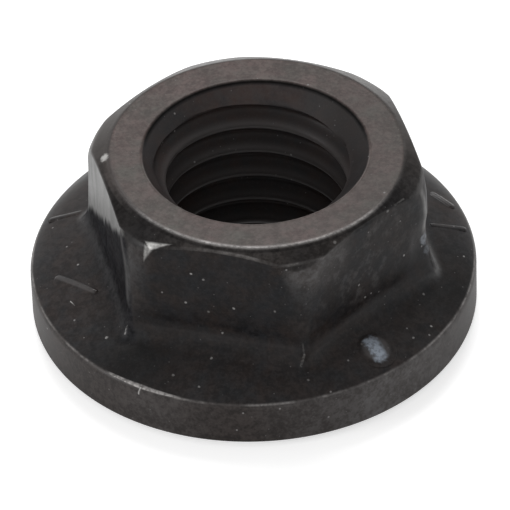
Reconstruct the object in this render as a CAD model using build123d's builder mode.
from build123d import *
import math
import os

# Serrated flange nut, M10 x 1.5 right hand: a hexagon forged in one piece with a round
# flange. Millimetres, +Z up. The origin is where the thread's axis meets the bearing
# plane, so the serrated underside rests on z = 0 and the end face is at z = nut_height.

# ---- Thread -------------------------------------------------------------------------
thread_major = 10.0  # diameter at the thread's roots
thread_minor = 8.75  # diameter at the crests, the tapping drill's
thread_pitch = 1.5
thread_flank = 30.0  # degrees each flank leans from a plane across the axis
thread_turn = 242.0  # degrees from +X to where a groove's middle crosses the bearing plane
mouth_diameter = 11.0  # countersink at both ends of the bore
mouth_lean = 42.0  # degrees the countersink's wall leans from the axis

# ---- Hexagon ------------------------------------------------------------------------
nut_height = 9.65
across_flats = 15.0
corner_radius = 1.3  # rounding of the six upright corners
hexagon_turn = -16.5  # degrees from +X to the nearest corner
crown_diameter = 14.3  # flat end face inside the turned chamfer
crown_slope = 30.0  # degrees the chamfer falls away from the end face
corner_break_diameter = 16.1  # where the chamfer steepens into the corners
corner_slope = 62.0
foot_radius = 0.95  # fillet between the hexagon and the flange

# ---- Flange -------------------------------------------------------------------------
flange_diameter = 21.8
flange_drift = (-0.3, 0.35)  # the forging's flange sits this far off the tapped thread
rim_low = 0.38  # lower corner of the rim, above the bearing plane
rim_high = 2.55  # upper corner of the rim
rim_round = 0.2
shoulder_width = 1.2  # soft shoulder that bends from the rim into the cone
shoulder_rise = 0.6
cone_slope = 20.0  # degrees the flange's upper side rises towards the hexagon

# ---- Serrated bearing face ----------------------------------------------------------
bearing_diameter = 19.6
serration_count = 36
serration_depth = 0.3
serration_inner_diameter = 12.6  # the plain ring inside it keeps the face square
serration_land = 0.25  # share of each tooth that stays flat on the bearing plane

# ---- Raised marks on the flange -----------------------------------------------------
mark_rise = 0.12
mark_width = 0.4
mark_bars = (  # degrees round the flange from +X, distance out, lean from the radius, length
    (196.0, 8.95, -59.0, 2.9),
    (161.0, 9.55, 30.0, 1.8),
    (20.0, 10.0, -60.0, 1.5),
    (7.0, 9.65, 5.0, 1.9),
)
dot_diameter = 1.6
dot_turn = 306.4
dot_distance = 9.6

# ---- Sizes that follow --------------------------------------------------------------
bore_radius = thread_minor / 2
root_radius = thread_major / 2
mouth_radius = mouth_diameter / 2
flat_distance = across_flats / 2
crown_radius = crown_diameter / 2
break_radius = corner_break_diameter / 2
rim_radius = flange_diameter / 2
bearing_radius = bearing_diameter / 2
shoulder_radius = rim_radius - shoulder_width
shoulder_height = rim_high + shoulder_rise
flange_x, flange_y = flange_drift
flange_section = Plane(origin=(flange_x, flange_y, 0), x_dir=(1, 0, 0), z_dir=(0, -1, 0))
flange_axis = Axis((flange_x, flange_y, 0), (0, 0, 1))


def rise(run, slope):
    """Height gained over a level run on a slope given in degrees."""
    return run * math.tan(math.radians(slope))


# ---- Hexagon with its turned crown --------------------------------------------------
# The end face, the chamfer and the steeper corner break are one turned shape, and the
# hexagon is what is left of a prism inside it.
turning_radius = across_flats  # well outside the corners
break_height = nut_height - rise(break_radius - crown_radius, crown_slope)
turning_height = break_height - rise(turning_radius - break_radius, corner_slope)

with BuildPart() as hexagon:
    with BuildSketch() as prism:
        RegularPolygon(flat_distance, 6, major_radius=False, rotation=hexagon_turn)
        fillet(prism.vertices(), radius=corner_radius)
    extrude(amount=nut_height)
    with BuildSketch(Plane.XZ) as crown:
        with BuildLine():
            Polyline(
                (0, turning_height),
                (0, nut_height),
                (crown_radius, nut_height),
                (break_radius, break_height),
                (turning_radius, turning_height),
                close=True,
            )
        make_face()
    revolve(axis=Axis.Z, mode=Mode.INTERSECT)


# ---- Flange -------------------------------------------------------------------------
def flange_outline(lift):
    """Draw half the flange's section, its upper side raised by lift."""
    apex = shoulder_height + rise(shoulder_radius, cone_slope) + lift
    cone = Line((0, apex), (shoulder_radius, shoulder_height + lift))
    shoulder = TangentArc(cone @ 1, (rim_radius, rim_high + lift), tangent=cone % 1)
    Polyline(shoulder @ 1, (rim_radius, rim_low), (bearing_radius, 0), (0, 0), cone @ 0)


with BuildPart() as flange:
    with BuildSketch(flange_section) as section:
        with BuildLine():
            flange_outline(lift=0)
        make_face()
        fillet(section.vertices().group_by(Axis.X)[-1], radius=rim_round)
    revolve(axis=flange_axis)

# The marks are pads that follow the flange's upper side at one height above it.
with BuildPart() as marks:
    with BuildSketch(flange_section):
        with BuildLine():
            flange_outline(lift=mark_rise)
        make_face()
    revolve(axis=flange_axis)
    with BuildSketch(Plane(origin=flange_axis.position)):
        for turn, distance, lean, length in mark_bars:
            with PolarLocations(distance, 1, start_angle=turn):
                SlotOverall(length, mark_width, rotation=lean)
        with PolarLocations(dot_distance, 1, start_angle=dot_turn):
            Circle(dot_diameter / 2)
    extrude(amount=nut_height, mode=Mode.INTERSECT)

# ---- Cutters: bore, thread and serrations -------------------------------------------
mouth_depth = (mouth_radius - bore_radius) / math.tan(math.radians(mouth_lean))

with BuildPart() as bore:
    with BuildSketch(Plane.XZ):
        with BuildLine():
            Polyline(
                (0, 0),
                (mouth_radius, 0),
                (bore_radius, mouth_depth),
                (bore_radius, nut_height - mouth_depth),
                (mouth_radius, nut_height),
                (0, nut_height),
                close=True,
            )
        make_face()
    revolve(axis=Axis.Z)

# One turn of the thread's groove. It starts inside the bore's wall, so that nothing is
# left standing between the groove and the bore.
groove_start = bore_radius - thread_pitch / 5
root_flat = thread_pitch / 8


def groove_half_width(radius):
    """Half the groove's width, which grows from the root flat towards the axis."""
    return root_flat / 2 + rise(root_radius - radius, thread_flank)


with BuildPart() as groove:
    with BuildLine() as helix:
        Helix(pitch=thread_pitch, height=thread_pitch, radius=bore_radius)
    with BuildSketch(Plane.XZ):
        with BuildLine():
            Polyline(
                (groove_start, -groove_half_width(groove_start)),
                (root_radius, -groove_half_width(root_radius)),
                (root_radius, groove_half_width(root_radius)),
                (groove_start, groove_half_width(groove_start)),
                close=True,
            )
        make_face()
    sweep(path=helix.line, is_frenet=True)

# One serration: a ramp that climbs clockwise, seen from above, and ends at an upright
# face. The nut slides over the ramps as it is tightened, and the upright faces bite
# when it turns back.
tooth_angle = 360 / serration_count
ramp_angle = tooth_angle * (1 - serration_land)

with BuildPart() as notch:
    for radius in (serration_inner_diameter / 2, rim_radius):
        with BuildSketch(Plane(origin=(radius, 0, 0), x_dir=(0, 1, 0), z_dir=(1, 0, 0))):
            with BuildLine():
                Polyline(
                    (0, 0),
                    (rise(radius, ramp_angle), 0),
                    (0, serration_depth),
                    close=True,
                )
            make_face()
    loft(ruled=True)

# ---- The nut ------------------------------------------------------------------------
thread_turns = math.ceil(nut_height / thread_pitch) + 2

with BuildPart() as flange_nut:
    add(flange.part)
    add(hexagon.part)
    sides = flange_nut.faces().filter_by(
        lambda face: abs(face.normal_at().Z) < 0.01 and face.bounding_box().max.Z > shoulder_height
    )
    fillet([side.edges().sort_by(Axis.Z)[0] for side in sides], radius=foot_radius)
    add(marks.part)
    add(bore.part, mode=Mode.SUBTRACT)
    for turn in range(thread_turns):
        with Locations(Location((0, 0, (turn - 1) * thread_pitch), (0, 0, thread_turn))):
            add(groove.part, mode=Mode.SUBTRACT)
    with Locations(flange_axis.position):
        with PolarLocations(0, serration_count):
            add(notch.part, mode=Mode.SUBTRACT)

print("volume", round(flange_nut.part.volume, 2), "valid", flange_nut.part.is_valid)
flange_nut.part.label = "flange_nut"
os.makedirs("parts", exist_ok=True)
export_step(flange_nut.part, "parts/flange_nut.step")
